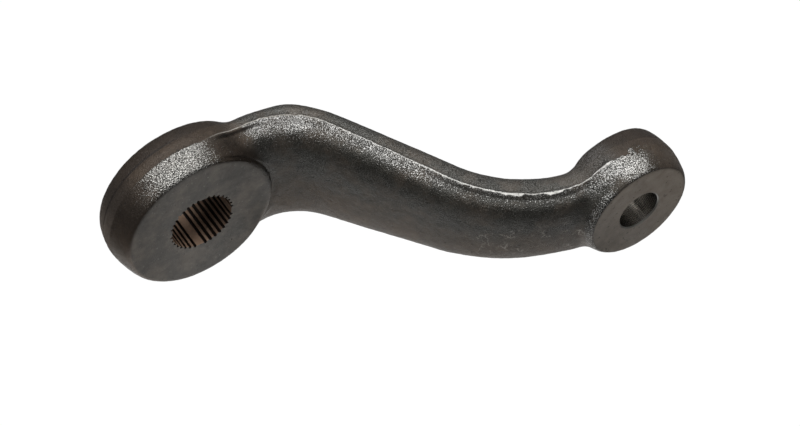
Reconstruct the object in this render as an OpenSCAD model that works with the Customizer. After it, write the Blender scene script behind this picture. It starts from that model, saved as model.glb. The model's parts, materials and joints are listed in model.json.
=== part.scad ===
// Pitman arm, forged in one piece.
// A splined eye takes the sector shaft of the steering gear. A second eye, set off
// to the front, takes the tapered stud of the steering linkage.
// Front faces look along -Y. The splined eye's front face is centred on the origin
// and the arm runs out along +X.

/* [Splined eye] */
// Radius of the flat front face
shaft_face_r = 35.2; // [30:0.1:45]
// How far the rim stands out past the front face
shaft_rim = 4.5; // [3:0.1:8]
// How far the rim stands out past the back face
shaft_back_rim = 3.6; // [2:0.1:6]
// Thickness between the faces
shaft_eye_t = 25.4; // [20:0.2:36]
// Depth of the parting line behind the front face
shaft_part = 14.6; // [11:0.1:17]

/* [Spline] */
// Diameter at the bottom of the grooves
spline_d = 31.75; // [25:0.05:36]
// Depth of the grooves
groove_h = 1; // [0.8:0.05:1.6]
// Groove places round the bore
groove_places = 36; // [24:4:48]
// Places left without a groove, so that the shaft goes in only four ways
blind_places = 4; // [1:1:4]
// Share of the pitch taken by a groove at its mouth
groove_share = 0.65; // [0.5:0.01:0.75]
// Turn of the grooves from the arm's line, in degrees
spline_turn = 7; // [0:0.5:10]
// Lead-in at the back, where the shaft enters
lead_in = 1.2; // [0.5:0.1:2.5]

/* [Stud eye] */
// Radius of the flat front face
stud_face_r = 24.5; // [20:0.1:32]
// How far the rim stands out past the front face
stud_rim = 4; // [2:0.1:6]
// How far the rim stands out past the back face
stud_back_rim = 2.8; // [1:0.1:5]
// Thickness between the faces
stud_eye_t = 25.4; // [20:0.2:36]
// Depth of the parting line behind the front face
stud_part = 12.6; // [11:0.1:17]
// Diameter of the tapered hole at the front face
stud_d = 20.2; // [16:0.1:24]
// Length over which the hole narrows by one unit of diameter
taper_run = 8; // [6:0.5:12]
// Broken edge at both ends of the hole
hole_edge = 0.6; // [0.2:0.1:1.2]
// Radius of the nut's seat, spot-faced into the back
seat_r = 22.5; // [15:0.5:24]
// Depth of the nut's seat below the back face
seat_h = 0.4; // [0.2:0.1:1]

/* [Arm] */
// Distance between the eye axes
reach = 163.5; // [140:0.5:200]
// How far the stud eye's front face lies before the splined eye's
drop = 98; // [60:0.5:120]
// Straight run beside the splined eye
shaft_run = 32; // [25:0.5:45]
// Straight run beside the stud eye
stud_run = 9.5; // [4:0.5:20]
// Radius of the bend beside the splined eye
shaft_bend = 37; // [28:0.5:60]
// Radius of the bend beside the stud eye
stud_bend = 72; // [40:0.5:90]
// Half width beside the splined eye, on the parting line
root_w = 31.2; // [24:0.1:36]
// Widening of the arm where it runs into the splined eye
root_flare = 2.2; // [1:0.1:4]
// Half width at the neck before the stud eye
neck_w = 18.5; // [13:0.1:20]
// Thickness at the neck
neck_t = 23.6; // [20:0.1:30]
// Widening of the neck where it runs into the stud eye
neck_flare = 8.5; // [2:0.5:12]
// Squareness of the section, where 2 is an ellipse
square_power = 3.4; // [2.5:0.1:5]
// Draft of the forged sides, in degrees
draft = 4; // [1:0.5:7]
// Step down from the splined eye's front face to the arm
shaft_front_step = 1.4; // [1:0.1:5]
// Step down from the splined eye's back face to the arm
shaft_back_step = 1.6; // [1:0.1:5]
// Step down from the stud eye's front face to the arm
stud_front_step = 3.9; // [1:0.1:5]
// Step down from the stud eye's back face to the arm
stud_back_step = 1; // [0.5:0.1:3]

/* [Hidden] */
rings = 52;
ring_pts = 36;
arc_steps = 9;
belly = 0.7;
inside = 2.5;
past = 1;
seat_room = 12;
floor_share = 0.3;
bend_room = 0.97;
// reach of the arm's widening and narrowing, as shares of an eye's face radius
root_share = 1.25;
flare_share = 1.7;
neck_share = 0.55;
spline_r = spline_d / 2;
tip_r = spline_r - groove_h;
groove_mouth = groove_share * tip_r * 2 * PI / groove_places;
groove_floor = floor_share * groove_mouth;
blind_gap = groove_places / blind_places;
// parting line, from the splined eye's axis to the stud eye's
fall = drop + shaft_part - stud_part;
span = reach - shaft_run - stud_run;
bend_fit = bend_room * (span * span + fall * fall) / (2 * fall * (shaft_bend + stud_bend));
bend_a = shaft_bend * min(1, bend_fit);
bend_b = stud_bend * min(1, bend_fit);
bends = bend_a + bend_b;
slope_l = sqrt(span * span + fall * fall - 2 * bends * fall);
slope = atan2(span, bends - fall) - atan2(slope_l, bends);
s1 = shaft_run;
s2 = s1 + bend_a * slope * PI / 180;
s3 = s2 + slope_l;
s4 = s3 + bend_b * slope * PI / 180;
path_l = s4 + stud_run;
x2 = shaft_run + bend_a * sin(slope);
y2 = shaft_part - bend_a * (1 - cos(slope));
x3 = x2 + slope_l * cos(slope);
y3 = y2 - slope_l * sin(slope);
loft_from = spline_r + inside;
loft_to = path_l - stud_d / 2 - inside;
narrow_from = shaft_face_r;
narrow_to = path_l - neck_share * stud_face_r;
flare_from = root_share * shaft_face_r;
flare_to = path_l - flare_share * stud_face_r;
// arm thickness before and behind the parting line
root_front = shaft_part - shaft_front_step;
root_back = shaft_eye_t - shaft_part - shaft_back_step;
neck_front = stud_part - stud_front_step;
neck_back = neck_t - neck_front;
neck_tuck = max(0, neck_back + stud_part + stud_back_step - stud_eye_t);

function unit(t) = max(0, min(1, t));
function ease(t) = (1 - cos(180 * unit(t))) / 2;
function mix(a, b, t) = a + (b - a) * t;
function signed_pow(v, p) = sign(v) * pow(abs(v), p);

// place and heading on the parting line after a run of s
function bend_in(a) = [shaft_run + bend_a * sin(a), shaft_part - bend_a * (1 - cos(a)), a];
function bend_out(a) = [x3 + bend_b * (sin(slope) - sin(a)), y3 - bend_b * (cos(a) - cos(slope)), a];
function path_at(s) =
    s < s1 ? [s, shaft_part, 0] :
    s < s2 ? bend_in((s - s1) / bend_a * 180 / PI) :
    s < s3 ? [x2 + (s - s2) * cos(slope), y2 - (s - s2) * sin(slope), slope] :
    s < s4 ? bend_out(slope - (s - s3) / bend_b * 180 / PI) :
    [reach - path_l + s, stud_part - drop, 0];

// sizes of the section after a run of s
function near_shaft(s) = unit((flare_from - s) / (flare_from - loft_from));
function near_stud(s) = unit((s - flare_to) / (path_l - flare_to));
function half_w(s) = mix(root_w, neck_w, ease((s - narrow_from) / (narrow_to - narrow_from)))
    + root_flare * pow(near_shaft(s), 2) + neck_flare * pow(near_stud(s), 2);
function front_t(s) = mix(root_front, neck_front, ease(s / path_l));
function back_t(s) = mix(root_back, neck_back, s / path_l) - neck_tuck * near_stud(s);

// one ring of the loft, a drafted and rounded section square to the path
function ring(s) =
    let (p = path_at(s), w = half_w(s), f = front_t(s), b = back_t(s), e = 2 / square_power)
    [for (j = [0 : ring_pts - 1])
        let (
            a = 360 * j / ring_pts,
            n = signed_pow(sin(a), e) * (sin(a) > 0 ? f : b),
            z = signed_pow(cos(a), e) * (w - abs(n) * tan(draft))
        )
        [p[0] - n * sin(p[2]), p[1] - n * cos(p[2]), z]];

// half profile of an eye with its front face at zero depth, bellied out to the parting line
function eye_outline(face_r, rim, back_rim, part, t) = concat(
    [[0, 0]],
    [for (k = [0 : arc_steps])
        let (a = 90 * k / arc_steps)
        [face_r + rim * mix(1 - cos(a), sin(a), belly), part * (1 - cos(a))]],
    [for (k = [1 : arc_steps])
        let (a = 90 * k / arc_steps)
        [face_r + rim - back_rim * mix(sin(a), 1 - cos(a), belly), part + (t - part) * sin(a)]],
    [[0, t]]
);

module eye(face_r, rim, back_rim, part, t) {
    rotate([-90, 0, 0])
        rotate_extrude($fn = 96)
            polygon(eye_outline(face_r, rim, back_rim, part, t));
}

module arm() {
    points = [for (i = [0 : rings]) each ring(mix(loft_from, loft_to, i / rings))];
    sides = [for (i = [0 : rings - 1], j = [0 : ring_pts - 1])
        let (
            a = i * ring_pts + j,
            b = i * ring_pts + (j + 1) % ring_pts
        )
        each [[a, a + ring_pts, b], [b, a + ring_pts, b + ring_pts]]];
    start = [for (j = [0 : ring_pts - 1]) j];
    stop = [for (j = [1 : ring_pts]) (rings + 1) * ring_pts - j];
    polyhedron(points, concat([start], sides, [stop]), convexity = 4);
}

module groove() {
    translate([0, 0, -past])
        linear_extrude(shaft_eye_t + 2 * past)
            polygon([
                [tip_r - past, -groove_mouth / 2],
                [tip_r, -groove_mouth / 2],
                [spline_r, -groove_floor / 2],
                [spline_r, groove_floor / 2],
                [tip_r, groove_mouth / 2],
                [tip_r - past, groove_mouth / 2]
            ]);
}

module spline_bore() {
    lead_h = groove_h + lead_in;
    rotate([-90, 0, 0]) {
        translate([0, 0, -past])
            cylinder(h = shaft_eye_t + 2 * past, r = tip_r, $fn = 96);
        for (k = [0 : groove_places - 1])
            if (k % blind_gap != 0)
                rotate([0, 0, 360 * k / groove_places + spline_turn])
                    groove();
        translate([0, 0, shaft_eye_t - lead_h])
            cylinder(h = lead_h + past, r1 = tip_r, r2 = tip_r + lead_h + past, $fn = 96);
    }
}

module stud_hole() {
    seat_at = stud_eye_t - seat_h;
    back_d = stud_d - seat_at / taper_run;
    translate([reach, -drop, 0])
        rotate([-90, 0, 0]) {
            translate([0, 0, -past])
                cylinder(
                    h = seat_at + 2 * past,
                    d1 = stud_d + past / taper_run,
                    d2 = back_d - past / taper_run,
                    $fn = 96
                );
            translate([0, 0, -past])
                cylinder(h = past + hole_edge, d1 = stud_d + 2 * (past + hole_edge), d2 = stud_d, $fn = 96);
            translate([0, 0, seat_at - hole_edge])
                cylinder(h = past + hole_edge, d1 = back_d, d2 = back_d + 2 * (past + hole_edge), $fn = 96);
            translate([0, 0, seat_at])
                cylinder(h = seat_h + seat_room, r = seat_r, $fn = 96);
        }
}

module pitman_arm() {
    color("DimGray")
        difference() {
            union() {
                eye(shaft_face_r, shaft_rim, shaft_back_rim, shaft_part, shaft_eye_t);
                translate([reach, -drop, 0])
                    eye(stud_face_r, stud_rim, stud_back_rim, stud_part, stud_eye_t);
                arm();
            }
            spline_bore();
            stud_hole();
        }
}

pitman_arm();
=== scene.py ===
import json
import math
from collections import namedtuple
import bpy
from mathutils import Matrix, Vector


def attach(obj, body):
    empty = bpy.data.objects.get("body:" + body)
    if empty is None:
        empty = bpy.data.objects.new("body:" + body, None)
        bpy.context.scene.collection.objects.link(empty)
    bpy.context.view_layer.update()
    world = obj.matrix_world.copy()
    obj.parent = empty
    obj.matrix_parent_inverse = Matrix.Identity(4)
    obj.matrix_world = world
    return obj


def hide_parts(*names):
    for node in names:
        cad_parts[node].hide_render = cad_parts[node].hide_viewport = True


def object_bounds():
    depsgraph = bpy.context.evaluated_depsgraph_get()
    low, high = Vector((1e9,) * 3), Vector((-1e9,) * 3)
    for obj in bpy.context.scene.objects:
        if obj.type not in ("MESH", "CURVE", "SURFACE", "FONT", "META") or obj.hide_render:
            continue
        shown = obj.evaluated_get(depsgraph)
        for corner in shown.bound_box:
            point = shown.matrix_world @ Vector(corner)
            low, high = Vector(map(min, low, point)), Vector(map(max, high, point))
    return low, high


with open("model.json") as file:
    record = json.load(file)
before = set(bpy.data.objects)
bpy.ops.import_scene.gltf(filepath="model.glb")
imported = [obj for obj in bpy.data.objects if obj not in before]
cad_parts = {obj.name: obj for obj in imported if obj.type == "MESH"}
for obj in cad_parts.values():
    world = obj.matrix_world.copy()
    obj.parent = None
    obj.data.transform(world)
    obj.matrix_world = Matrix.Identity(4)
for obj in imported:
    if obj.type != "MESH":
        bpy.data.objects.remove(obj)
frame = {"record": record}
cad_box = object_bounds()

from types import SimpleNamespace

import bmesh
import bpy
from mathutils import Vector
from mathutils.bvhtree import BVHTree

# Sizes are in metres. Front faces look along -Y, and the arm runs out along +X.
mounts = {mount["name"]: mount for mount in frame["record"]["mounts"]}
stud_at = Vector(mounts["stud_taper"]["pos_m"])

# The two eyes. Seam is how far the trimmed seam lies before the parting line.
Eye = namedtuple("Eye", "centre face_r rim back_rim part thick seam")
SHAFT_EYE = Eye(Vector((0, 0, 0)), 0.0352, 0.0045, 0.0036, 0.0146, 0.0254, 0.0033)
STUD_EYE = Eye(stud_at, 0.0245, 0.0040, 0.0028, 0.0126, 0.0254, 0.0015)
# Where the seam leaves the parting line on the eyes, as shares of their face radius
SHAFT_SEAM_FROM, SHAFT_SEAM_RUN = 0.75, 0.55
STUD_SEAM_LEAD = 0.6
BELLY = 0.7
FACE_INSET = 0.00004
ARC_STEPS = 12
SPIN_STEPS = 120
WELD_GAP = 1e-6
SEED_SIZE = 0.01

# The spline of the shaft's eye and the reamed hole of the stud's eye
tooth_tip_r = mounts["sector_shaft"]["dims"]["r_mm"] / 1000
SPLINE_R = 0.015875
GROOVE_PLACES = 36
BLIND_PLACES = 4
STEPS_PER_GROOVE = 10
# Bands of a groove, from its middle out: first and last step, and share of the full depth
GROOVE_BANDS = ((-0.5, 1.5, 1.0), (1.5, 2.5, 0.5))
SPLINE_TURN = math.radians(-7)
LEAD_IN = 0.0012
STUD_R = 0.0101
TAPER = 1 / 16
HOLE_EDGE = 0.0006
SEAT_R = 0.0225
SEAT_H = 0.0004
CUT_ROOM = 0.012

# The arm between the eyes
REACH = stud_at.x
DROP = -stud_at.y
SHAFT_RUN, STUD_RUN = 0.032, 0.0095
SHAFT_BEND, STUD_BEND = 0.037, 0.072
ROOT_W, NECK_W = 0.0312, 0.0185
ROOT_FLARE, NECK_FLARE = 0.0022, 0.0085
ROOT_FRONT, NECK_FRONT = 0.0132, 0.0087
ROOT_BACK, NECK_BACK, NECK_TUCK = 0.0092, 0.0149, 0.0031
ROOT_SHARE, FLARE_SHARE, NECK_SHARE = 1.25, 1.7, 0.55
INSIDE = 0.0025
DRAFT_SHARE = 0.031
CORNER = 0.95
CORNER_PROFILE = 0.665
CORNER_STEPS = 16
STATIONS = 72

# The forged skin's shape
VOXEL = 0.00073
SOFTNESS = 0.5
SOFTEN_TIMES, FILLET_TIMES = 2, 90
ROOT_FILLET = 0.0045
FACE_EDGE = 0.0012
FACE_SOFT = 0.0003
SMOOTH_ANGLE = math.radians(35)
# Lumps of the skin: size, depth of detail
SWELLS, SCALE_PITS, WORN_RIDGE, TORN_EDGE = (0.016, 2), (0.0022, 1), (0.004, 1), (0.0025, 2)
SWELL_H, SCALE_PIT_H = 0.0004, 0.00016
LUMP_LEVEL = 0.62
# The flash along the arm, and the places where it is torn wide
FLASH_W, FLASH_H, FLASH_CREST = 0.0008, 0.0011, 1.6
FLASH_FROM, FLASH_TO = 0.024, 0.1585
FLASH_RISE, FLASH_FALL = 0.018, 0.006
BURRS = ((0.1095, 0.1166), (0.1264, 0.1327), (0.1508, 0.1540))
BURR_W, BURR_FADE = 0.0016, 0.0015
# The groove below the flash, near both ends of the arm
UNDERCUT_AT, UNDERCUT_W, UNDERCUT_H = 0.0019, 0.0013, 0.0004
UNDERCUT_ROOT, UNDERCUT_NECK, UNDERCUT_FADE = 0.055, 0.092, 0.02
# The band that trimming left on the rims
TRIM_W, TRIM_H = 0.0056, 0.00022
TRIM_FROM, TRIM_FADE = 0.024, 0.012
# The step below the shaft eye's front face
STEP_H, STEP_W, STEP_REACH = 0.0017, 0.0011, 0.0025
STEP_FROM, STEP_FADE, STEP_FALL = 0.008, 0.012, 1.8
# The back corners of the first bend
FULL_AT, FULL_REACH, FULL_H = 0.054, 0.013, 0.0011
FULL_DEPTH, FULL_Z, FULL_FADE = 0.004, 0.022, 0.008

# Zones of the finish along X, as where each step begins and ends. A pair of steps rises and falls.
SHAFT_RIM, STUD_RIM = (0.030, 0.018), (0.152, 0.162)
SHAFT_FAR_END, STUD_FAR_END = (-0.012, -0.031), (REACH + 0.001, REACH + 0.013)
ROOT = (0.003, 0.020), (0.034, 0.024)
NECK = (0.082, 0.096), (0.150, 0.136)
SLIM_BAND = (0.045, 0.065), (0.152, 0.135)
DULL_BAND = (0.045, 0.065), (0.155, 0.146)
RAGGED = 0.158, 0.166
PAINTED_LIGHT_SHAFT, DUSTY_STUD = (0.010, -0.012), (0.158, 0.172)
WORN_NECK, SCUFFED_NECK = (0.080, 0.115), (0.088, 0.102)
SHADED_CREASE, OILY_SHAFT, OILY_STUD = (0.006, -0.012), (-0.014, -0.030), (0.138, 0.150)
SHADED_ROOT = (0.012, 0.020), (0.044, 0.030)
LIGHT_RIM = 0, 0.1
WIDE_LINE = (0.070, 0.088), (0.140, 0.120)
BRIGHT_LINE = (0.006, 0.030), (0.1565, 0.1545)
PALE_LINE = 0.045, 0.080
SHADED_LANDS = -0.002, 0.012
STUD_EDGE_SIDE = REACH - 0.008, REACH - 0.016

# Zones along Z, by radius, by depth behind a face and by depth before the seam
LOW_FRONT, SCUFFED_FRONT, OIL_AND_SHADE_TOP = (0.008, -0.016), (0.012, 0.0), (-0.006, 0.022)
PAINTED_LIGHT_FRONT, PAINTED_LIGHT_BACK = (0.012, -0.006), (0.030, 0.010)
STUD_EDGE = (0.0240, 0.0249), (0.0275, 0.0262)
STUD_EDGE_DEPTH = 0.008, 0.004
REAMED_MOUTH = HOLE_EDGE * 1.3, HOLE_EDGE * 0.8
WORN_DEPTH, ROOT_SHADE_DEPTH = (0.005, 0.009), (0.001, 0.005)
BEHIND_SEAM, BEHIND_TRIM = (0.0004, -0.0004), (0.0005, -0.0005)
CREASE_AT, CREASE_W = 0.0004, 0.0008

# The bare band beside the seam: its width, what the rims add, and what the arm's middle takes off
BAND_W, RIM_BAND_W, SLIM_BY = 0.0105, 0.0085, 0.0028
# The bright line of the flash: its width, what is added where it widens and at burrs, and its wander
LINE_W, WIDE_BY, BURR_BY = 0.00028, 0.00012, 0.0004
BURR_EDGE = 0.0008
LINE_WANDER = 0.0007
RAGGED_W = 0.012
# Where marks begin to show and show in full, in shares of their width from their middle
BARE_FADE, BELT_FADE = (1.45, 0.35), (1.7, 0.9)
SHADE_FADE, CREASE_FADE, LINE_FADE = (1.2, 0.3), (1.0, 0.3), (1.0, 0.4)

# Noise of the finishes: size, detail and roughness
MOTTLE = 0.0045, 6, 0.7
FINE_GRAIN = 0.00045, 1.5, 0.6
RAGGED_GRAIN = 0.003, 3, 0.6
SCRATCH_GRAIN = 0.0045, 3, 0.6
TORN_GRAIN = 0.0015, 2, 0.6
STAIN = 0.003, 3, 0.6
FILM = 0.004, 3
TOOTH_GRAIN = 0.0006, 2
LINE_GRAIN = 0.01, 2
# Patches: such noise with the two levels between which a patch fades in
Patches = namedtuple("Patches", "size detail rough low high")
BARE_PATCHES = Patches(0.008, 2, 0.5, 0.3, 0.7)
BLOOM = Patches(0.013, 4, 0.65, 0.40, 0.66)
RUST_SPECKS = Patches(0.0028, 4, 0.7, 0.54, 0.70)
SCUFFS = Patches(0.007, 2, 0.5, 0.47, 0.60)
PITS = Patches(0.0018, 2, 0.5, 0.36, 0.27)
SPECKS = Patches(0.0011, 1, 0.5, 0.68, 0.75)
LINE_PATCHES = Patches(0.003, 2, 0.5, 0.32, 0.48)
# Levels of noise between which flecks and scratches fade in, and how the mottle is stretched
FLECK_LEVELS, BACK_FLECK_LEVELS, SCRATCH_LEVELS = (0.40, 0.56), (0.42, 0.62), (0.024, 0.008)
FLECK_GAIN = 0.34
MOTTLE_GAIN, MOTTLE_DROP = 1.6, 0.3
# How fast the stud face warms across, per metre, and between which levels
WARM_GAIN, WARM_LEVELS = 20, (-0.6, 1.2)
# Where the lands of the teeth begin and are full, as shares of the groove's depth
LAND_SHARES = 0.25, 0.03
# Heights of the bumps
GRAIN_H, TOOTH_GRAIN_H, TURNING_H = 0.00045, 0.00003, 0.000004
# The turning lines of the reamer, in radians per metre, and how far they wander
TURNING, TURNING_WANDER = 7000, 3

# Colours. Those in pairs go from a dark to a light end.
SCALE = (0.019, 0.0188, 0.0162, 1), (0.067, 0.065, 0.0565, 1)
BROWNED = (0.052, 0.036, 0.024, 1), (0.158, 0.116, 0.082, 1)
DUST_AND_PAINTED_LIGHT = (0.15, 0.122, 0.10, 1), (0.34, 0.285, 0.24, 1)
COINED = (0.052, 0.048, 0.042, 1), (0.118, 0.110, 0.098, 1)
RUBBED = (0.27, 0.225, 0.185, 1), (0.47, 0.405, 0.335, 1)
RIM_METAL = (0.50, 0.49, 0.465, 1), (0.74, 0.73, 0.70, 1)
TORN_METAL = (0.46, 0.44, 0.40, 1), (0.72, 0.71, 0.68, 1)
ARM_METAL = (0.50, 0.495, 0.48, 1)
RUST = (0.150, 0.108, 0.078, 1)
WORN = (0.25, 0.225, 0.195, 1)
SCRATCH = (0.40, 0.37, 0.33, 1)
OIL_AND_SHADE = (0.022, 0.017, 0.014, 1)
PAINTED_ROOT_SHADE = (0.010, 0.008, 0.007, 1)
PIT = (0.02, 0.018, 0.016, 1)
SPECK = (0.30, 0.29, 0.27, 1)
PAINTED_UNDERCUT_SHADE = (0.005, 0.0047, 0.0045, 1)
BLASTED = (0.012, 0.0115, 0.011, 1)
TAN = (0.25, 0.16, 0.11, 1), (0.45, 0.315, 0.23, 1)
OLD_OIL = (0.010, 0.006, 0.004, 1)
REAMED = (0.50, 0.485, 0.46, 1), (0.66, 0.64, 0.61, 1)
DULL_MOUTH = (0.26, 0.25, 0.23, 1)

# The studio
FLOOR_SIZE = 8
FLOOR_GAP = 0.26
FLOOR_TONE = 0.8
FLOOR_MIRRORED, FLOOR_GLOW = 0.95, 0.97
MATT = 0.9
WHITE = (1, 1, 1, 1)
WHITE_LIGHT = 1.03
CARD_R = 0.27
CARD_TOP = 0.21
CARD_SIDES = 64
CARD_OVERLAP = 0.02
DARK_CARD, GREY_CARD = 0.19, 0.34
AZIMUTH, ELEVATION = math.radians(-32.8), math.radians(52.65)
AWAY_X, AWAY_Y = 0.54, 0.84
CAMERA_AT = (-0.2976, -0.6207, 0.9014)
LENS, SENSOR = 117, 36
SOFTBOX_AT = (-0.5, 0.131, 1.6)
SOFTBOX_SIZE = (2.2, 1.15)
SOFTBOX_LIGHT = 4.0
KICKER_AT = Vector((0.9, 0.9, 1.32))
KICKER_SIZE = (0.75, 0.6)
KICKER_LIGHT = 3.0
SKY_LIGHT = 0.15
middle = Vector((REACH / 2, -DROP / 2, 0))
floor_z = cad_box[0].z - FLOOR_GAP

# The parting line between the two dies, worked out as one S of lines and arcs
fall = DROP + SHAFT_EYE.part - STUD_EYE.part
span = REACH - SHAFT_RUN - STUD_RUN
bends = SHAFT_BEND + STUD_BEND
slope_l = math.sqrt(span ** 2 + fall ** 2 - 2 * bends * fall)
slope = math.atan2(span, bends - fall) - math.atan2(slope_l, bends)
s1 = SHAFT_RUN
s2 = s1 + SHAFT_BEND * slope
s3 = s2 + slope_l
s4 = s3 + STUD_BEND * slope
path_l = s4 + STUD_RUN
x2 = SHAFT_RUN + SHAFT_BEND * math.sin(slope)
y2 = SHAFT_EYE.part - SHAFT_BEND * (1 - math.cos(slope))
x3 = x2 + slope_l * math.cos(slope)
y3 = y2 - slope_l * math.sin(slope)
stud_part_y = STUD_EYE.part - DROP
arm_from = SPLINE_R + INSIDE
arm_to = path_l - STUD_R - INSIDE
flare_from = ROOT_SHARE * SHAFT_EYE.face_r
flare_to = path_l - FLARE_SHARE * STUD_EYE.face_r


def unit(t):
    """The value held between 0 and 1."""
    return max(0, min(1, t))


def ease(t):
    """Rises smoothly from 0 at 0 to 1 at 1."""
    return (1 - math.cos(math.pi * unit(t))) / 2


def mix(a, b, t):
    """The value that lies a share t of the way from a to b."""
    return a + (b - a) * t


def path_at(s):
    """The place on the parting line after a run of s."""
    if s < s1:
        return Vector((s, SHAFT_EYE.part, 0))
    if s < s2:
        a = (s - s1) / SHAFT_BEND
        fallen = SHAFT_BEND * (1 - math.cos(a))
        return Vector((SHAFT_RUN + SHAFT_BEND * math.sin(a), SHAFT_EYE.part - fallen, 0))
    if s < s3:
        return Vector((x2 + (s - s2) * math.cos(slope), y2 - (s - s2) * math.sin(slope), 0))
    if s < s4:
        a = slope - (s - s3) / STUD_BEND
        fallen = STUD_BEND * (math.cos(a) - math.cos(slope))
        return Vector((x3 + STUD_BEND * (math.sin(slope) - math.sin(a)), y3 - fallen, 0))
    return Vector((REACH - path_l + s, stud_part_y, 0))


def parting_depth(co):
    """How far a point lies before the parting line, and less than zero behind it."""
    from_shaft = co.xy - Vector((SHAFT_RUN, SHAFT_EYE.part - SHAFT_BEND))
    from_stud = co.xy - Vector((REACH - STUD_RUN, stud_part_y + STUD_BEND))
    if co.x <= SHAFT_RUN:
        return SHAFT_EYE.part - co.y
    if co.x >= REACH - STUD_RUN:
        return stud_part_y - co.y
    if math.atan2(from_shaft.x, from_shaft.y) < slope and from_shaft.y > 0:
        return SHAFT_BEND - from_shaft.length
    if math.atan2(-from_stud.x, -from_stud.y) < slope and from_stud.y < 0:
        return from_stud.length - STUD_BEND
    return (x2 - co.x) * math.sin(slope) + (y2 - co.y) * math.cos(slope)


def seam_depth(co):
    """How far a point lies before the trimmed seam, which leaves the parting line on the eyes."""
    on_shaft_eye = ease((SHAFT_SEAM_FROM * SHAFT_EYE.face_r - co.x) / SHAFT_EYE.face_r / SHAFT_SEAM_RUN)
    on_stud_eye = ease((co.x - REACH) / STUD_EYE.face_r + STUD_SEAM_LEAD)
    return parting_depth(co) - SHAFT_EYE.seam * on_shaft_eye - STUD_EYE.seam * on_stud_eye


def half_width(s):
    """Half the arm's width on the parting line after a run of s."""
    narrow_from, narrow_to = SHAFT_EYE.face_r, path_l - NECK_SHARE * STUD_EYE.face_r
    near_shaft = unit((flare_from - s) / (flare_from - arm_from))
    near_stud = unit((s - flare_to) / (path_l - flare_to))
    plain = mix(ROOT_W, NECK_W, ease((s - narrow_from) / (narrow_to - narrow_from)))
    return plain + ROOT_FLARE * near_shaft ** 2 + NECK_FLARE * near_stud ** 2


def front_thickness(s):
    """How thick the arm is before the parting line."""
    return mix(ROOT_FRONT, NECK_FRONT, ease(s / path_l))


def back_thickness(s):
    """How thick the arm is behind the parting line."""
    near_stud = unit((s - flare_to) / (path_l - flare_to))
    return mix(ROOT_BACK, NECK_BACK, s / path_l) - NECK_TUCK * near_stud


# Hand tools of the bench
def select(test):
    """In edit mode, selects the vertices whose place passes the test."""
    mesh = bmesh.from_edit_mesh(bpy.context.object.data)
    for vert in mesh.verts:
        vert.select_set(bool(test(vert.co)))
    mesh.select_flush(True)
    bmesh.update_edit_mesh(bpy.context.object.data)


def drawn_line(name, points):
    """A line of edges through the points, drawn by extruding a small plane merged to one vertex."""
    bpy.ops.object.select_all(action="DESELECT")
    bpy.ops.mesh.primitive_plane_add(size=SEED_SIZE, enter_editmode=True, location=(0, 0, 0))
    bpy.ops.mesh.merge(type="CENTER")
    bpy.ops.transform.translate(value=points[0])
    for here, there in zip(points, points[1:]):
        bpy.ops.mesh.extrude_vertices_move(TRANSFORM_OT_translate={"value": there - here})
    bpy.context.object.name = name
    return bpy.context.object


def spun(name, centre, profile):
    """A closed turned shape from (radius, depth) points, about an axis along Y through the centre."""
    piece = drawn_line(name, [centre + Vector((r, depth, 0)) for r, depth in profile])
    bpy.ops.mesh.select_all(action="SELECT")
    bpy.ops.mesh.spin(steps=SPIN_STEPS, angle=2 * math.pi, center=centre, axis=(0, 1, 0))
    bpy.ops.mesh.select_all(action="SELECT")
    bpy.ops.mesh.remove_doubles(threshold=WELD_GAP)
    bpy.ops.mesh.normals_make_consistent(inside=False)
    bpy.ops.object.mode_set(mode="OBJECT")
    return piece


def modified(piece, kind, **settings):
    """The piece with one modifier set and applied."""
    bpy.ops.object.select_all(action="DESELECT")
    bpy.context.view_layer.objects.active = piece
    piece.select_set(True)
    modifier = piece.modifiers.new(kind.lower(), kind)
    for key, value in settings.items():
        setattr(modifier, key, value)
    bpy.ops.object.modifier_apply(modifier=modifier.name)
    return piece


def cut(piece, tool, operation="DIFFERENCE"):
    """The piece cut by the tool, or joined with it."""
    return modified(piece, "BOOLEAN", object=tool, operation=operation, solver="EXACT",
                    material_mode="TRANSFER")


def weighted(piece, name, weigh):
    """A vertex group on the piece, with the weight that each place gets."""
    group = piece.vertex_groups.new(name=name)
    for vert in piece.data.vertices:
        weight = weigh(vert.co)
        if weight > 0:
            group.add([vert.index], weight, "REPLACE")
    return group.name


def surface_gap(piece):
    """A function that gives how far a place lies from the piece's surface."""
    tree = BVHTree.FromObject(piece, bpy.context.evaluated_depsgraph_get())
    return lambda co: tree.find_nearest(co)[3]


def lumps(name, size, depth):
    """A cloudy texture for uneven skin, by the size and the depth of detail of its lumps."""
    texture = bpy.data.textures.new(name, "CLOUDS")
    texture.noise_scale = size
    texture.noise_depth = depth
    return texture


def eye_blank(name, eye):
    """An eye of the blank: a flat front face, a rim bellied out to the parting line and a flat back."""
    front, back = [], []
    for k in range(ARC_STEPS + 1):
        a = math.pi / 2 * k / ARC_STEPS
        swell = mix(1 - math.cos(a), math.sin(a), BELLY)
        front.append((eye.face_r + eye.rim * swell, mix(FACE_INSET, eye.part, 1 - math.cos(a))))
    back_depth = eye.thick - FACE_INSET
    for k in range(1, ARC_STEPS + 1):
        a = math.pi / 2 * k / ARC_STEPS
        swell = mix(math.sin(a), 1 - math.cos(a), BELLY)
        back.append((eye.face_r + eye.rim - eye.back_rim * swell, mix(eye.part, back_depth, math.sin(a))))
    return spun(name, eye.centre, [(0, FACE_INSET)] + front + back + [(0, back_depth)])


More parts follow.
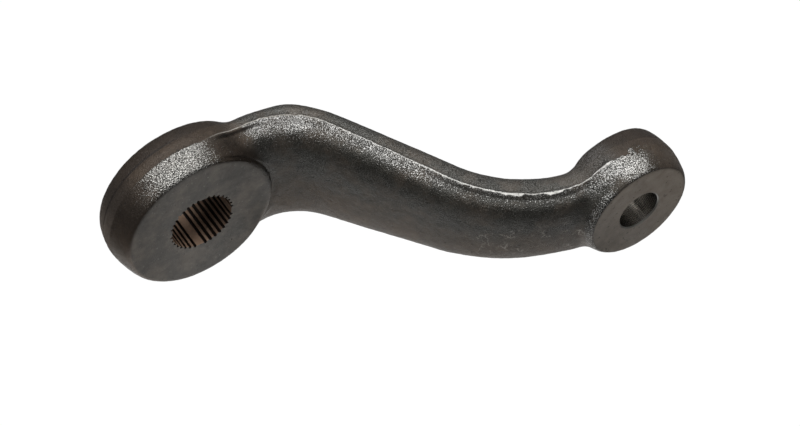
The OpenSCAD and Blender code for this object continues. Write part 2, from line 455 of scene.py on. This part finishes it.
def arm_blank():
    """The arm drawn out as a straight bar with crowned sides, then bent along the parting line."""
    bpy.ops.object.select_all(action="DESELECT")
    bpy.ops.mesh.primitive_cube_add(size=2, enter_editmode=True, location=(0, 0, 0))
    bar = bpy.context.object
    bar.name = "arm_bar"
    length = arm_to - arm_from
    bpy.ops.transform.resize(value=(length / 2, 1, 1))
    bpy.ops.transform.translate(value=((arm_from + arm_to) / 2, 0, 0))
    for side in (-1, 1):
        select(lambda co: co.y * side > 0.5)
        bpy.ops.transform.resize(value=(1, 1, 1 - DRAFT_SHARE), center_override=(0, 0, 0))
    mesh = bmesh.from_edit_mesh(bar.data)
    for edge in mesh.edges:
        edge.select_set(abs(edge.verts[0].co.x - edge.verts[1].co.x) > length / 2)
    bpy.ops.mesh.bevel(offset=CORNER, segments=CORNER_STEPS, profile=CORNER_PROFILE)
    bpy.ops.mesh.select_all(action="SELECT")
    bpy.ops.mesh.bisect(plane_co=(0, 0, 0), plane_no=(0, 1, 0))
    for k in range(1, STATIONS):
        bpy.ops.mesh.select_all(action="SELECT")
        bpy.ops.mesh.bisect(plane_co=(arm_from + length * k / STATIONS, 0, 0), plane_no=(1, 0, 0))
    near = length / STATIONS / 4
    for k in range(STATIONS + 1):
        s = arm_from + length * k / STATIONS
        station = (s, 0, 0)
        select(lambda co: abs(co.x - s) < near and co.y < -near)
        bpy.ops.transform.resize(value=(1, front_thickness(s), 1), center_override=station)
        select(lambda co: abs(co.x - s) < near and co.y > near)
        bpy.ops.transform.resize(value=(1, back_thickness(s), 1), center_override=station)
        select(lambda co: abs(co.x - s) < near)
        bpy.ops.transform.resize(value=(1, 1, half_width(s)), center_override=station)
    bpy.ops.object.mode_set(mode="OBJECT")
    drawn_line("arm_path", [path_at(path_l * k / STATIONS) for k in range(STATIONS + 1)])
    bpy.ops.object.mode_set(mode="OBJECT")
    bpy.ops.object.convert(target="CURVE")
    path = bpy.context.object
    path.data.dimensions = "2D"
    modified(bar, "CURVE", object=path, deform_axis="POS_X")
    bpy.data.objects.remove(path)
    return bar


def on_arm(co):
    """1 along the arm, fading out where the flash ends on the eyes."""
    return ease((co.x - FLASH_FROM) / FLASH_RISE) * ease((FLASH_TO - co.x) / FLASH_FALL)


def in_burr(co):
    """1 in the places where the flash is torn wide."""
    return max(ease(min(co.x - start, stop - co.x) / BURR_FADE + 0.5) for start, stop in BURRS)


def flash_weight(co):
    """1 on the crest of the flash."""
    width = mix(FLASH_W, BURR_W, in_burr(co))
    return on_arm(co) * unit(FLASH_CREST * (1 - abs(seam_depth(co)) / width))


def undercut_weight(co):
    """1 in the groove below the flash, near both ends of the arm."""
    near_root = ease((UNDERCUT_ROOT - co.x) / UNDERCUT_FADE)
    near_neck = ease((co.x - UNDERCUT_NECK) / UNDERCUT_FADE)
    across = ease(1 - abs(seam_depth(co) - UNDERCUT_AT) / UNDERCUT_W)
    return max(near_root, near_neck) * on_arm(co) * across


def on_rims(co):
    """1 on the rims of the eyes away from the arm."""
    return max(ease((TRIM_FROM - co.x) / TRIM_FADE), ease((co.x - REACH) / TRIM_FADE))


def crease_weight(co):
    """1 behind the band that the trimming left on the rims."""
    return on_rims(co) * ease(1 - abs(seam_depth(co) + TRIM_W) / FLASH_W)


def ridge_weight(co):
    """1 on the seam round the rims."""
    return on_rims(co) * ease(1 - abs(seam_depth(co)) / FLASH_W)


def skin_weight(co):
    """0 on the flat faces of the eyes, 1 away from them."""
    faces = [(eye, depth) for eye in (SHAFT_EYE, STUD_EYE) for depth in (0, eye.thick)]
    gaps = [abs(co.y - eye.centre.y - depth) + max(0, (co - eye.centre).xz.length - eye.face_r)
            for eye, depth in faces]
    return unit(min(gaps) / FACE_EDGE)


def corner_weight(co):
    """1 on the back corners of the first bend, which the die left full."""
    along = ease(1 - abs(co.x - FULL_AT) / FULL_REACH)
    return along * ease(-parting_depth(co) / FULL_DEPTH) * ease((abs(co.z) - FULL_Z) / FULL_FADE)


def step_weight(co):
    """How far the arm lies short of its step below the shaft eye's front face."""
    past = (co - SHAFT_EYE.centre).xz.length - SHAFT_EYE.face_r
    if past <= 0:
        return 0
    short = unit(ease(past / STEP_W) - co.y / STEP_H)
    return short * ease(STEP_FALL - past / STEP_REACH) * ease((co.x - STEP_FROM) / STEP_FADE)


def forged_blank():
    """Both eyes and the arm as one blank, with filleted roots, uneven skin and a trimmed flash."""
    shaft_eye = eye_blank("shaft_eye_blank", SHAFT_EYE)
    stud_eye = eye_blank("stud_eye_blank", STUD_EYE)
    bar = arm_blank()
    eye_gaps = [surface_gap(shaft_eye), surface_gap(stud_eye)]
    bar_gap = surface_gap(bar)
    blank = bar.copy()
    blank.data = bar.data.copy()
    blank.name = "pitman_arm_forging"
    bpy.context.scene.collection.objects.link(blank)
    for eye in (shaft_eye, stud_eye):
        cut(blank, eye, "UNION")
    for helper in (shaft_eye, stud_eye, bar):
        bpy.data.objects.remove(helper)
    modified(blank, "REMESH", mode="VOXEL", voxel_size=VOXEL)
    modified(blank, "SMOOTH", factor=SOFTNESS, iterations=SOFTEN_TIMES)

    def root_weight(co):
        from_root = max(min(gap(co) for gap in eye_gaps), bar_gap(co))
        return ease(1 - from_root / ROOT_FILLET)

    roots = weighted(blank, "roots", root_weight)
    modified(blank, "SMOOTH", factor=SOFTNESS, iterations=FILLET_TIMES, vertex_group=roots)
    skin = weighted(blank, "skin", skin_weight)
    # each mark: its group, its lumps, its height and the level of the lumps that stays in place
    marks = [
        (skin, lumps("forged_swells", *SWELLS), SWELL_H, LUMP_LEVEL),
        (skin, lumps("scale_pits", *SCALE_PITS), SCALE_PIT_H, LUMP_LEVEL),
        (weighted(blank, "corner", corner_weight), None, FULL_H, 0),
        (weighted(blank, "undercut", undercut_weight), None, -UNDERCUT_H, 0),
        (weighted(blank, "crease", crease_weight), None, -TRIM_H, 0),
        (weighted(blank, "ridge", ridge_weight), lumps("worn_ridge", *WORN_RIDGE), TRIM_H, 0),
        (weighted(blank, "flash", flash_weight), lumps("torn_flash", *TORN_EDGE), FLASH_H, 0),
    ]
    modified(blank, "DISPLACE", direction="Y", strength=STEP_H, mid_level=0,
             vertex_group=weighted(blank, "step", step_weight))
    for group, texture, height, level in marks:
        modified(blank, "DISPLACE", texture=texture, texture_coords="LOCAL", strength=height,
                 mid_level=level, vertex_group=group)
    return blank


def spline_cutter():
    """A toothed bar that broaches the grooves, with the places of the blind teeth left plain."""
    bpy.ops.object.select_all(action="DESELECT")
    bpy.ops.mesh.primitive_circle_add(
        vertices=GROOVE_PLACES * STEPS_PER_GROOVE, radius=tooth_tip_r, fill_type="NGON", enter_editmode=True,
        location=(0, 0, 0), rotation=(math.pi / 2, 0, 0))
    bpy.context.object.name = "spline_cutter"
    bpy.ops.object.mode_set(mode="OBJECT")
    bpy.ops.object.transform_apply(rotation=True)
    bpy.ops.object.mode_set(mode="EDIT")
    pitch = 2 * math.pi / GROOVE_PLACES
    blind_gap = GROOVE_PLACES // BLIND_PLACES

    def steps_from_groove(co):
        place = (math.atan2(co.z, co.x) - SPLINE_TURN) / pitch
        if round(place) % blind_gap == 0:
            return STEPS_PER_GROOVE
        return abs(place - round(place)) * STEPS_PER_GROOVE

    for nearest, farthest, share in GROOVE_BANDS:
        select(lambda co: nearest < steps_from_groove(co) < farthest)
        grow = mix(tooth_tip_r, SPLINE_R, share) / tooth_tip_r
        bpy.ops.transform.resize(value=(grow, 1, grow), center_override=(0, 0, 0))
    bpy.ops.mesh.select_all(action="SELECT")
    bpy.ops.transform.translate(value=(0, -CUT_ROOM, 0))
    along = (0, SHAFT_EYE.thick + 2 * CUT_ROOM, 0)
    bpy.ops.mesh.extrude_region_move(TRANSFORM_OT_translate={"value": along})
    bpy.ops.mesh.select_all(action="SELECT")
    bpy.ops.mesh.normals_make_consistent(inside=False)
    bpy.ops.object.mode_set(mode="OBJECT")
    return bpy.context.object


def lead_in_cutter():
    """A countersink for the spline's back end."""
    back = SHAFT_EYE.thick
    tip_at = back - LEAD_IN - (SPLINE_R - tooth_tip_r) - tooth_tip_r
    wide_at = back + CUT_ROOM
    cone = [(0, tip_at), (wide_at - tip_at, wide_at), (0, wide_at)]
    return spun("lead_in_cutter", SHAFT_EYE.centre, cone)


def taper_reamer():
    """A taper reamer with a countersink at both ends, and the nut's spot-face behind it."""
    seat_at = STUD_EYE.thick - SEAT_H
    back_r = STUD_R - seat_at * TAPER
    return spun("taper_reamer", STUD_EYE.centre, [
        (0, -CUT_ROOM), (STUD_R + HOLE_EDGE + CUT_ROOM, -CUT_ROOM), (STUD_R, HOLE_EDGE),
        (back_r, seat_at - HOLE_EDGE), (back_r + HOLE_EDGE, seat_at), (SEAT_R, seat_at),
        (SEAT_R, seat_at + CUT_ROOM), (0, seat_at + CUT_ROOM)])


class Sum:
    """A socket of a material's nodes. Sums of it are written as in Python, and each adds its Math node."""

    def __init__(self, tree, socket):
        self.tree = tree
        self.socket = socket

    def node(self, kind, settings=None, sockets=None, output=0):
        """Any other node: its type, its settings, which come first, and what goes on its sockets."""
        new = self.tree.nodes.new(kind)
        for key, value in (settings or {}).items():
            setattr(new, key, value)
        for key, value in (sockets or {}).items():
            if isinstance(value, Sum):
                self.tree.links.new(value.socket, new.inputs[key])
            else:
                new.inputs[key].default_value = value
        return Sum(self.tree, new.outputs[output])

    def math(self, operation, *others):
        """A Math node with this as its first term."""
        terms = dict(enumerate((self,) + others))
        return self.node("ShaderNodeMath", {"operation": operation}, terms)

    def __add__(self, other):
        return self.math("ADD", other)

    __radd__ = __add__

    def __mul__(self, other):
        return self.math("MULTIPLY", other)

    def __sub__(self, other):
        return self.math("SUBTRACT", other)

    def __rsub__(self, other):
        return self * -1 + other

    def __truediv__(self, other):
        return self.math("DIVIDE", other)

    def __pow__(self, other):
        return self.math("POWER", other)

    def __abs__(self):
        return self.math("ABSOLUTE")

    def either(self, other):
        """The greater of two."""
        return self.math("MAXIMUM", other)

    def step(self, low, high):
        """Rises smoothly from 0 at low to 1 at high. Where high is the lesser, it falls."""
        settings = {"interpolation_type": "SMOOTHSTEP"}
        rising = {"Value": self, "From Min": min(low, high), "From Max": max(low, high)}
        ramp = self.node("ShaderNodeMapRange", settings, rising)
        return ramp if low < high else 1 - ramp

    def between(self, rise, fall):
        """1 between two steps, the first of which rises and the second falls."""
        return self.step(*rise) * self.step(*fall)

    def tint(self, plain, other):
        """A colour that goes from plain at 0 to the other at 1."""
        return self.node("ShaderNodeMix", {"data_type": "RGBA"}, {0: self, 6: plain, 7: other}, 2)

    def noise(self, size, detail=2.0, rough=0.5):
        """Cloudy grain of a given size in metres, from 0 to 1."""
        sockets = {"Vector": self, "Scale": 1 / size, "Detail": detail, "Roughness": rough}
        return self.node("ShaderNodeTexNoise", {}, sockets)

    def patches(self, kind):
        """1 in patches of one kind, 0 between them."""
        return self.noise(kind.size, kind.detail, kind.rough).step(kind.low, kind.high)

    def bump(self, depth):
        """The normal of a surface raised by this height times a depth in metres."""
        return self.node("ShaderNodeBump", {}, {"Height": self, "Distance": depth})


def finish_of(name):
    """A new material, its shader's node, and the place on the piece as a Sum."""
    material = bpy.data.materials.new(name)
    material.use_nodes = True
    tree = material.node_tree
    place = Sum(tree, tree.nodes.new("ShaderNodeTexCoord").outputs["Object"])
    return material, tree.nodes["Principled BSDF"], place


def set_finish(shader, place, **finish):
    """Values go on the shader's own sockets, and what changes over the surface is linked to them."""
    for key, value in finish.items():
        socket = shader.inputs[key.replace("_", " ").title().replace("Ior", "IOR")]
        if isinstance(value, Sum):
            place.tree.links.new(value.socket, socket)
        else:
            socket.default_value = value


def split(place):
    """The three coordinates of a place."""
    parts = place.node("ShaderNodeSeparateXYZ", {}, {0: place})
    return [Sum(place.tree, output) for output in parts.socket.node.outputs]


def from_axis(eye, x, z):
    """The distance from an eye's axis."""
    return ((x - eye.centre.x) ** 2 + z ** 2) ** 0.5


def on_faces(eye, radius, y):
    """1 on the flat faces of an eye, 0 on its rim and on the arm."""
    depth = y - eye.centre.y
    front = depth.step(FACE_SOFT, 0)
    back = depth.step(eye.thick - FACE_SOFT, eye.thick)
    return radius.step(eye.face_r + FACE_EDGE, eye.face_r) * front.either(back)


# The finishes. Numbers left in their sums are shares: how strongly a zone or a layer shows.
def skin_zones(place):
    """Where on the forging a place lies. Each zone goes from 0 outside it to 1 inside it."""
    at = SimpleNamespace()
    at.x, at.y, at.z = x, y, z = split(place)
    at.seam = place.node("ShaderNodeAttribute", {"attribute_name": "seam"}, {}, 2)
    at.stud_r = from_axis(STUD_EYE, x, z)
    at.shaft_face = on_faces(SHAFT_EYE, from_axis(SHAFT_EYE, x, z), y)
    at.stud_face = on_faces(STUD_EYE, at.stud_r, y)
    at.face = at.shaft_face.either(at.stud_face)
    at.rims = x.step(*SHAFT_RIM) + x.step(*STUD_RIM)
    at.root = x.between(*ROOT)
    at.neck = x.between(*NECK)
    at.low = z.step(*LOW_FRONT) * (1 - at.rims)
    at.far_ends = x.step(*SHAFT_FAR_END).either(x.step(*STUD_FAR_END) * 0.8)
    ragged = (place.noise(*RAGGED_GRAIN) - 0.5) * x.step(*RAGGED) * RAGGED_W
    at.behind = (at.seam + ragged).step(*BEHIND_SEAM)
    return at


def add_bare_zones(place, at):
    """Adds where the skin was blasted bare beside the seam, its flecks, and the painted shade below the
    flash.
    """
    off_face = 1 - at.face
    before = 1 - at.behind
    band = at.rims * RIM_BAND_W - at.x.between(*SLIM_BAND) * SLIM_BY + BAND_W
    depth = at.seam / band
    patchy = place.patches(BARE_PATCHES) * 0.16 + 0.84
    strength = (1 - at.x.between(*DULL_BAND) * 0.12 - at.neck * 0.28) * patchy
    flank = before * depth.step(*BARE_FADE) * off_face
    bare = flank * (1 - at.root * 0.8) * (1 - at.far_ends * 0.9) * strength
    stud_edge = at.stud_r.between(*STUD_EDGE) * at.x.step(*STUD_EDGE_SIDE)
    at.bare = bare.either(stud_edge * (at.y + DROP).step(*STUD_EDGE_DEPTH) * 0.7)
    belt = before * depth.step(*BELT_FADE) * off_face * (1 - at.far_ends * 0.5)
    at.blasted = (belt * 0.75).either(at.behind * off_face * 0.7).either(at.root * off_face * 0.6)

    # Painted shade: a dark band in the groove below the flash, at the neck and in the wedge at the arm's
    # root.
    off_groove = abs(at.seam - UNDERCUT_AT) / UNDERCUT_W
    at.shade = off_groove.step(*SHADE_FADE) * (at.neck * 0.75 + at.x.between(*SHADED_ROOT))
    at.grain = place.noise(*FINE_GRAIN)
    fleck = (at.grain + at.bare * FLECK_GAIN - FLECK_GAIN).step(*FLECK_LEVELS)
    back_fleck = at.grain.step(*BACK_FLECK_LEVELS) * at.behind * (1 - at.rims) * 0.2
    at.fleck = fleck.either(back_fleck) * (1 - at.shade)


def aged_skin(place, at):
    """Dark scale that browned, under dust, rust, wear, scuffs and oil, with painted light on the shaft eye's
    lower left and painted shade in the rims' crease and at the arm's root.
    """
    x, z = at.x, at.z
    at.mottle = place.noise(*MOTTLE) * MOTTLE_GAIN - MOTTLE_DROP
    at.bloom = place.patches(BLOOM)
    at.brown = at.rims * at.behind * 0.7 + at.root * 0.6 + at.far_ends * at.rims * 0.85
    at.brown = at.brown + at.bloom * 0.35 + at.low * 0.55
    skin = at.brown.math("MINIMUM", 1.0).tint(at.mottle.tint(*SCALE), at.mottle.tint(*BROWNED))

    # Painted light: the lower left of the shaft eye is lifted to a lighter tone. A little dust lies on the
    # stud eye's far end.
    dust_and_painted_light = z.step(*PAINTED_LIGHT_FRONT).either(at.behind * z.step(*PAINTED_LIGHT_BACK)) * x.step(*PAINTED_LIGHT_SHAFT) * 0.6
    dust_and_painted_light = dust_and_painted_light.either(x.step(*DUSTY_STUD) * 0.14)
    skin = dust_and_painted_light.tint(skin, at.mottle.tint(*DUST_AND_PAINTED_LIGHT))
    skin = (place.patches(RUST_SPECKS) * at.low * 0.45).tint(skin, RUST)
    worn_low = at.low * (x.step(*WORN_NECK) * 0.14 + 0.12) + 0.03
    skin = (at.seam.step(*WORN_DEPTH) * (1 - at.rims) * worn_low).tint(skin, WORN)
    scratch = abs(place.noise(*SCRATCH_GRAIN) - 0.5).step(*SCRATCH_LEVELS)
    scuffed = place.patches(SCUFFS) * z.step(*SCUFFED_FRONT) * x.step(*SCUFFED_NECK) * (1 - at.rims)
    skin = (scratch * scuffed * 0.6).tint(skin, SCRATCH)

    # Painted shade darkens the crease behind the trim band and the arm's root. Oil darkens the rims' back
    # halves and the shaft eye's far end, more towards the top.
    crease = abs(at.seam + TRIM_W + CREASE_AT) / CREASE_W
    oil_and_shade = (at.seam + TRIM_W).step(*BEHIND_TRIM) * 0.8
    oil_and_shade = oil_and_shade + crease.step(*CREASE_FADE) * x.step(*SHADED_CREASE) * 0.4
    oil_and_shade = oil_and_shade.either(x.step(*OILY_SHAFT) * 0.85).either(at.root * 0.4).either(at.behind * 0.55)
    oil_and_shade = oil_and_shade * (z.step(*OIL_AND_SHADE_TOP) * 0.9 + 0.1)
    skin = (oil_and_shade * at.rims.either(at.root).either(x.step(*OILY_STUD))).tint(skin, OIL_AND_SHADE)
    # Painted shade: the fillets at the arm's root, in front of the seam, are tinted near black.
    at.sooty = at.root * at.seam.step(*ROOT_SHADE_DEPTH) * (1 - at.face)
    return (at.sooty * 0.5).tint(skin, PAINTED_ROOT_SHADE)


def pressed_faces(place, at, skin):
    """The skin with the flat faces rubbed lighter, and with small pits."""
    at.pits = place.patches(PITS)
    across = ((at.x - REACH + at.z) * WARM_GAIN + 0.5).step(*WARM_LEVELS)
    warm = at.stud_face * (across * 0.65 + 0.35) + at.bloom * at.shaft_face * 0.25
    faces = warm.tint(at.mottle.tint(*COINED), at.mottle.tint(*RUBBED))
    return (at.pits * 0.5).tint(at.face.tint(skin, faces), PIT)


def bared_metal(place, at, skin):
    """The skin with painted shade in the undercut below the flash, flecks of bare metal and specks on the
    faces.
    """
    # Painted shade: the groove below the flash and the wedge at the arm's root are tinted near black.
    skin = (at.shade * 0.8).tint(skin, PAINTED_UNDERCUT_SHADE)
    skin = (at.bare * 0.5).tint(skin, BLASTED)
    metal = at.rims.tint(ARM_METAL, at.x.step(*LIGHT_RIM).tint(*RIM_METAL))
    skin = (at.fleck * 0.9).tint(skin, metal)
    return (place.patches(SPECKS) * at.face * 0.6).tint(skin, SPECK)


def torn_line(place, at):
    """1 on the bright line where the flash was torn off."""
    burr = sum(at.x.between((start - BURR_EDGE, start + BURR_EDGE), (stop + BURR_EDGE, stop - BURR_EDGE))
               for start, stop in BURRS)
    width = at.x.between(*WIDE_LINE) * WIDE_BY + burr * BURR_BY + LINE_W
    wander = (place.noise(*TORN_GRAIN) - 0.5) * (at.neck * LINE_WANDER + LINE_WANDER)
    line = (abs(at.seam - burr * BURR_BY + wander) / width).step(*LINE_FADE)
    return line * at.x.between(*BRIGHT_LINE) * (place.patches(LINE_PATCHES) * 0.5 + 0.5)


def forged_steel():
    """Dark scale that glitters beside the seam, brown on the rims, with bright metal on the flash."""
    material, shader, place = finish_of("forged_steel")
    at = skin_zones(place)
    add_bare_zones(place, at)
    skin = aged_skin(place, at)
    skin = pressed_faces(place, at, skin)
    skin = bared_metal(place, at, skin)
    bright = torn_line(place, at)
    base = bright.tint(skin, at.x.step(*PALE_LINE).tint(*TORN_METAL))
    # Metallic rises under the painted shades, so that their near-black base reflects little.
    metallic = at.fleck * 0.4 + at.bare * 0.2 + at.sooty * 0.35 + at.shade * 0.5
    metallic = metallic - at.brown * 0.1 - bright * 0.3 + 0.5
    roughness = at.grain * 0.1 + at.brown * 0.12 + at.face * 0.12 + at.low * 0.1 + bright * 0.3 + 0.22
    height = at.grain * (at.blasted.either(at.bare) * (1 - at.face) + 0.22) - at.pits * 0.25
    set_finish(shader, place, base_color=base, metallic=metallic, roughness=roughness,
               specular_ior_level=0.35, normal=height.bump(GRAIN_H))
    return material


def broached_steel():
    """Broached teeth: tan lands and grooves black with old oil, with painted shade on the lands towards +X.
    """
    material, shader, place = finish_of("broached_spline")
    x, _, z = split(place)
    land_from, land_to = (mix(tooth_tip_r, SPLINE_R, share) for share in LAND_SHARES)
    # Painted shade: the lands are darkened towards +X.
    land = from_axis(SHAFT_EYE, x, z).step(land_from, land_to) * (1 - x.step(*SHADED_LANDS) * 0.65)
    base = land.tint(OLD_OIL, place.noise(*STAIN).tint(*TAN))
    set_finish(shader, place, base_color=base, roughness=0.6, specular_ior_level=0.12,
               normal=place.noise(*TOOTH_GRAIN).bump(TOOTH_GRAIN_H))
    return material


def reamed_steel():
    """Reamed metal with fine turning lines, dull at the mouth."""
    material, shader, place = finish_of("reamed_taper")
    _, y, _ = split(place)
    lines = (y * TURNING + place.noise(*LINE_GRAIN) * TURNING_WANDER).math("SINE")
    mouth = (y + DROP).step(*REAMED_MOUTH)
    base = mouth.tint(place.noise(*FILM).tint(*REAMED), DULL_MOUTH)
    set_finish(shader, place, base_color=base, metallic=1.0, roughness=lines * 0.05 + mouth * 0.25 + 0.2,
               normal=lines.bump(TURNING_H))
    return material


def noted(piece, name, measure):
    """A value for each place on the piece, kept for its material."""
    attribute = piece.data.attributes.new(name, "FLOAT", "POINT")
    attribute.data.foreach_set("value", [measure(vert.co) for vert in piece.data.vertices])


# The forging, cut by its tools
forging = forged_blank()
forging.data.materials.clear()
forging.data.materials.append(forged_steel())
spline_finish, taper_finish = broached_steel(), reamed_steel()
tools = (
    (spline_cutter(), spline_finish),
    (lead_in_cutter(), spline_finish),
    (taper_reamer(), taper_finish),
)
for tool, finish in tools:
    tool.data.materials.clear()
    tool.data.materials.append(finish)
    cut(forging, tool)
    bpy.data.objects.remove(tool)
bpy.ops.object.shade_smooth_by_angle(angle=SMOOTH_ANGLE)
forging.vertex_groups.clear()
noted(forging, "seam", seam_depth)
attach(forging, "root")
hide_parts("pitman_arm")


# The studio: pale paper all round, a softbox above and a kicker behind
def seen(tree, mirrored=1.0):
    """1 for the camera, a share for reflections, 0 for the light that falls on the object."""
    path = tree.nodes.new("ShaderNodeLightPath")
    camera, glossy, through = (Sum(tree, path.outputs["Is %s Ray" % kind])
                               for kind in ("Camera", "Glossy", "Transmission"))
    return camera.either(glossy * mirrored).either(through)


def pale_floor():
    """A floor that is white to the camera and lights the part like pale paper."""
    bpy.ops.object.select_all(action="DESELECT")
    bpy.ops.mesh.primitive_plane_add(size=FLOOR_SIZE, location=(middle.x, middle.y, floor_z))
    floor = bpy.context.object
    floor.name = "floor"
    material, shader, place = finish_of("pale_paper")
    set_finish(shader, place, base_color=(FLOOR_TONE, FLOOR_TONE, FLOOR_TONE, 1), roughness=MATT)
    tree = material.node_tree
    white = place.node("ShaderNodeEmission", {}, {"Color": WHITE, "Strength": WHITE_LIGHT})
    glow = seen(tree, FLOOR_MIRRORED) * FLOOR_GLOW
    paper = place.node("ShaderNodeMixShader", {}, {0: glow, 1: Sum(tree, shader.outputs[0]), 2: white})
    tree.links.new(paper.socket, tree.nodes["Material Output"].inputs["Surface"])
    floor.data.materials.append(material)


def card(name, tone, keeps):
    """Part of a ring of cards out of view, which the steel mirrors as its horizon."""
    bpy.ops.object.select_all(action="DESELECT")
    bpy.ops.mesh.primitive_cylinder_add(
        vertices=CARD_SIDES, radius=CARD_R, depth=CARD_TOP - floor_z, end_fill_type="NOTHING",
        location=(middle.x, middle.y, (CARD_TOP + floor_z) / 2))
    piece = bpy.context.object
    piece.name = name
    bpy.ops.object.mode_set(mode="EDIT")
    select(lambda co: not keeps(co))
    bpy.ops.mesh.delete(type="VERT")
    bpy.ops.object.mode_set(mode="OBJECT")
    material, shader, place = finish_of(name)
    set_finish(shader, place, base_color=(tone, tone, tone, 1), roughness=MATT)
    piece.data.materials.append(material)
    piece.visible_camera = False
    piece.visible_shadow = False
    piece.visible_diffuse = False


def away(co):
    """How far a place on the ring of cards lies beyond its middle, along the view."""
    return co.x * AWAY_X + co.y * AWAY_Y


def area_lamp(name, size, light, location, rotation=(0, 0, 0)):
    """A lamp with an even face of a given size and brightness."""
    bpy.ops.object.light_add(type="AREA", location=location, rotation=rotation)
    lamp = bpy.context.object
    lamp.name = name
    lamp.data.shape = "RECTANGLE"
    lamp.data.size, lamp.data.size_y = size
    lamp.data.energy = light * math.pi * size[0] * size[1]


pale_floor()
card("dark_card", DARK_CARD, lambda co: away(co) < CARD_OVERLAP)
card("grey_card", GREY_CARD, lambda co: away(co) > -CARD_OVERLAP)
bpy.ops.object.camera_add(location=CAMERA_AT, rotation=(math.pi / 2 - ELEVATION, 0, AZIMUTH))
camera = bpy.context.object
camera.data.lens = LENS
camera.data.sensor_width = SENSOR
bpy.context.scene.camera = camera

kicker_turn = KICKER_AT.to_track_quat("Z", "Y").to_euler()
area_lamp("softbox", SOFTBOX_SIZE, SOFTBOX_LIGHT, SOFTBOX_AT)
area_lamp("kicker", KICKER_SIZE, KICKER_LIGHT, middle + KICKER_AT, kicker_turn)

world = bpy.data.worlds.new("studio")
bpy.context.scene.world = world
world.use_nodes = True
sky = world.node_tree.nodes["Background"].inputs
sky["Color"].default_value = WHITE
brightness = seen(world.node_tree) * (1 - SKY_LIGHT) + SKY_LIGHT
world.node_tree.links.new(brightness.socket, sky["Strength"])
bpy.context.scene.view_settings.view_transform = "Standard"
